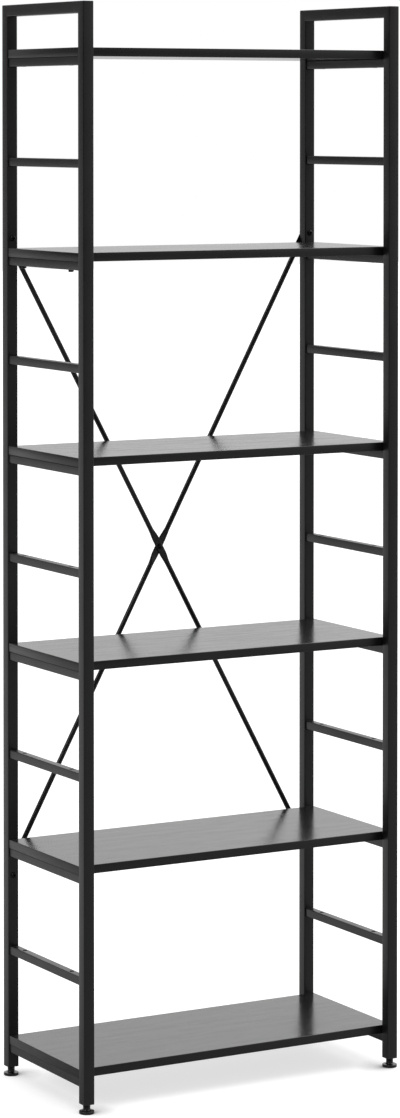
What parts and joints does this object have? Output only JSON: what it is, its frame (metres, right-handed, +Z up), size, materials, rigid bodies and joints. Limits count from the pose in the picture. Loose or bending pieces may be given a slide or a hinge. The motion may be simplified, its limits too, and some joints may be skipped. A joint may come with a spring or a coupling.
{
  "type": "bookcase",
  "caption": "Tall open bookcase: ladder side frames of square steel tube, wood-grain boards on cross rails, crossed back brace and screw feet.",
  "frame": {"origin": "on the floor, under the middle of the whole outline", "axes": "+X towards the right side seen from the front, +Y towards the back, +Z up"},
  "size_m": [0.636, 0.317, 1.886],
  "materials": {
    "powder_coated_steel": "satin black powder coat",
    "black_laminate_board": "black wood-grain laminate on particle board",
    "black_zinc_steel": "black zinc",
    "black_plastic": "glossy black moulded plastic",
    "black_plug_plastic": "matt black moulded plastic"
  },
  "bodies": {
    "bookcase": {"post_front_left": "powder_coated_steel", "post_front_right": "powder_coated_steel", "post_rear_left": "powder_coated_steel", "post_rear_right": "powder_coated_steel", "top_rail_left": "powder_coated_steel", "top_rail_right": "powder_coated_steel", "shelf_rail_1_left": "powder_coated_steel", "shelf_rail_2_left": "powder_coated_steel", "shelf_rail_3_left": "powder_coated_steel", "shelf_rail_4_left": "powder_coated_steel", "shelf_rail_5_left": "powder_coated_steel", "shelf_rail_6_left": "powder_coated_steel", "shelf_rail_1_right": "powder_coated_steel", "shelf_rail_2_right": "powder_coated_steel", "shelf_rail_3_right": "powder_coated_steel", "shelf_rail_4_right": "powder_coated_steel", "shelf_rail_5_right": "powder_coated_steel", "shelf_rail_6_right": "powder_coated_steel", "open_rung_1_left": "powder_coated_steel", "open_rung_2_left": "powder_coated_steel", "open_rung_3_left": "powder_coated_steel", "open_rung_4_left": "powder_coated_steel", "open_rung_5_left": "powder_coated_steel", "open_rung_1_right": "powder_coated_steel", "open_rung_2_right": "powder_coated_steel", "open_rung_3_right": "powder_coated_steel", "open_rung_4_right": "powder_coated_steel", "open_rung_5_right": "powder_coated_steel", "shelf_board_1": "black_laminate_board", "shelf_board_2": "black_laminate_board", "shelf_board_3": "black_laminate_board", "shelf_board_4": "black_laminate_board", "shelf_board_5": "black_laminate_board", "shelf_board_6": "black_laminate_board", "brace_from_upper_left": "powder_coated_steel", "brace_from_upper_right": "powder_coated_steel", "brace_bolt_lower_left": "black_zinc_steel", "brace_bolt_upper_left": "black_zinc_steel", "brace_bolt_lower_right": "black_zinc_steel", "brace_bolt_upper_right": "black_zinc_steel", "brace_nut_lower_left": "black_zinc_steel", "brace_nut_upper_left": "black_zinc_steel", "brace_nut_lower_right": "black_zinc_steel", "brace_nut_upper_right": "black_zinc_steel", "brace_rivet": "black_zinc_steel", "post_plug_front_left": "black_plug_plastic", "post_plug_front_right": "black_plug_plastic", "post_plug_rear_left": "black_plug_plastic", "post_plug_rear_right": "black_plug_plastic"},
    "stud_front_left": {"foot_stud_front_left": "black_zinc_steel"},
    "stud_front_right": {"foot_stud_front_right": "black_zinc_steel"},
    "stud_rear_left": {"foot_stud_rear_left": "black_zinc_steel"},
    "stud_rear_right": {"foot_stud_rear_right": "black_zinc_steel"},
    "pad_front_left": {"foot_pad_front_left": "black_plastic"},
    "pad_front_right": {"foot_pad_front_right": "black_plastic"},
    "pad_rear_left": {"foot_pad_rear_left": "black_plastic"},
    "pad_rear_right": {"foot_pad_rear_right": "black_plastic"}
  },
  "joints": [
    {"name": "foot_travel_front_left", "type": "slide", "parent": "bookcase", "child": "stud_front_left", "axis": [0, 0, -1], "range_m": [0, 0.01]},
    {"name": "foot_travel_front_right", "type": "slide", "parent": "bookcase", "child": "stud_front_right", "axis": [0, 0, -1], "range_m": [0, 0.01]},
    {"name": "foot_travel_rear_left", "type": "slide", "parent": "bookcase", "child": "stud_rear_left", "axis": [0, 0, -1], "range_m": [0, 0.01]},
    {"name": "foot_travel_rear_right", "type": "slide", "parent": "bookcase", "child": "stud_rear_right", "axis": [0, 0, -1], "range_m": [0, 0.01]},
    {"name": "foot_turn_front_left", "type": "hinge", "parent": "stud_front_left", "child": "pad_front_left", "pos_m": [-0.305, -0.14545, 0], "axis": [0, 0, -1], "range_deg": [0, 3605]},
    {"name": "foot_turn_front_right", "type": "hinge", "parent": "stud_front_right", "child": "pad_front_right", "pos_m": [0.305, -0.14545, 0], "axis": [0, 0, -1], "range_deg": [0, 3605]},
    {"name": "foot_turn_rear_left", "type": "hinge", "parent": "stud_rear_left", "child": "pad_rear_left", "pos_m": [-0.305, 0.13955, 0], "axis": [0, 0, -1], "range_deg": [0, 3605]},
    {"name": "foot_turn_rear_right", "type": "hinge", "parent": "stud_rear_right", "child": "pad_rear_right", "pos_m": [0.305, 0.13955, 0], "axis": [0, 0, -1], "range_deg": [0, 3605]}
  ],
  "couplings": [
    {"joint": "foot_turn_front_left", "follows": "foot_travel_front_left", "rad_per_m": 6283.2},
    {"joint": "foot_turn_front_right", "follows": "foot_travel_front_right", "rad_per_m": 6283.2},
    {"joint": "foot_turn_rear_left", "follows": "foot_travel_rear_left", "rad_per_m": 6283.2},
    {"joint": "foot_turn_rear_right", "follows": "foot_travel_rear_right", "rad_per_m": 6283.2}
  ]
}
